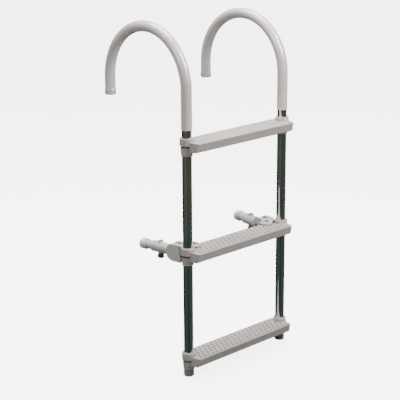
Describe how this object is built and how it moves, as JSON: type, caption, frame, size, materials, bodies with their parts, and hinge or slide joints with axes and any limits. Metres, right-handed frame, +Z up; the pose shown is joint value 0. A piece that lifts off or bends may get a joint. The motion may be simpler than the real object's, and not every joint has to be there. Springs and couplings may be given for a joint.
{
  "type": "boat boarding ladder",
  "caption": "Hook-on boat boarding ladder: two bent tube uprights with sheathed hooks, moulded grip steps, and folding adjustable stand-off arms.",
  "frame": {"origin": "midway between the two hooks, on the line where the inside of their crowns rests on the gunwale", "axes": "+X along the steps to the right as seen by a climber, +Y towards the boat, +Z up"},
  "size_m": [0.337, 0.3042, 0.7992],
  "materials": {
    "tube": "polished stainless steel",
    "hook_sleeve": "smooth glossy PVC",
    "hook_cap": "smooth PVC",
    "step": "satin moulded plastic",
    "foot_cap": "soft grey plastic",
    "standoff": "satin moulded plastic",
    "bumper": "soft light grey rubber",
    "knob": "dark moulded plastic",
    "fastener": "stainless steel"
  },
  "bodies": {
    "root": {"left_upright": "tube", "right_upright": "tube", "left_hook_sleeve": "hook_sleeve", "right_hook_sleeve": "hook_sleeve", "left_hook_cap": "hook_cap", "right_hook_cap": "hook_cap", "top_step": "step", "middle_step": "step", "bottom_step": "step", "step_screws": "fastener", "left_foot_cap": "foot_cap", "right_foot_cap": "foot_cap", "left_standoff_bracket": "standoff", "right_standoff_bracket": "standoff", "bracket_bolts": "fastener", "bracket_nuts": "fastener", "pivot_bolts": "fastener", "pivot_nuts": "fastener"},
    "left_arm": {"left_standoff_arm": "standoff", "left_clamp_bolt": "fastener"},
    "left_knob": {"left_clamp_knob": "knob"},
    "left_extension": {"left_extension_tube": "standoff", "left_bumper": "bumper"},
    "right_arm": {"right_standoff_arm": "standoff", "right_clamp_bolt": "fastener"},
    "right_knob": {"right_clamp_knob": "knob"},
    "right_extension": {"right_extension_tube": "standoff", "right_bumper": "bumper"}
  },
  "joints": [
    {"name": "left_arm_fold", "type": "hinge", "parent": "root", "child": "left_arm", "pos_m": [-0.1415, -0.079, -0.4888], "axis": [0.9898, 0.1426, 0], "range_deg": [-90, 90]},
    {"name": "left_extension_slide", "type": "slide", "parent": "left_arm", "child": "left_extension", "axis": [-0.1426, 0.9898, 0], "range_m": [-0.014, 0]},
    {"name": "left_knob_turn", "type": "hinge", "parent": "left_arm", "child": "left_knob", "pos_m": [-0.1482, -0.03248, -0.5088], "axis": [0, 0, 1], "continuous": true},
    {"name": "right_arm_fold", "type": "hinge", "parent": "root", "child": "right_arm", "pos_m": [0.1415, -0.079, -0.4888], "axis": [0.9898, -0.1426, 0], "range_deg": [-90, 90]},
    {"name": "right_extension_slide", "type": "slide", "parent": "right_arm", "child": "right_extension", "axis": [0.1426, 0.9898, 0], "range_m": [-0.014, 0]},
    {"name": "right_knob_turn", "type": "hinge", "parent": "right_arm", "child": "right_knob", "pos_m": [0.1482, -0.03248, -0.5088], "axis": [0, 0, 1], "continuous": true}
  ]
}
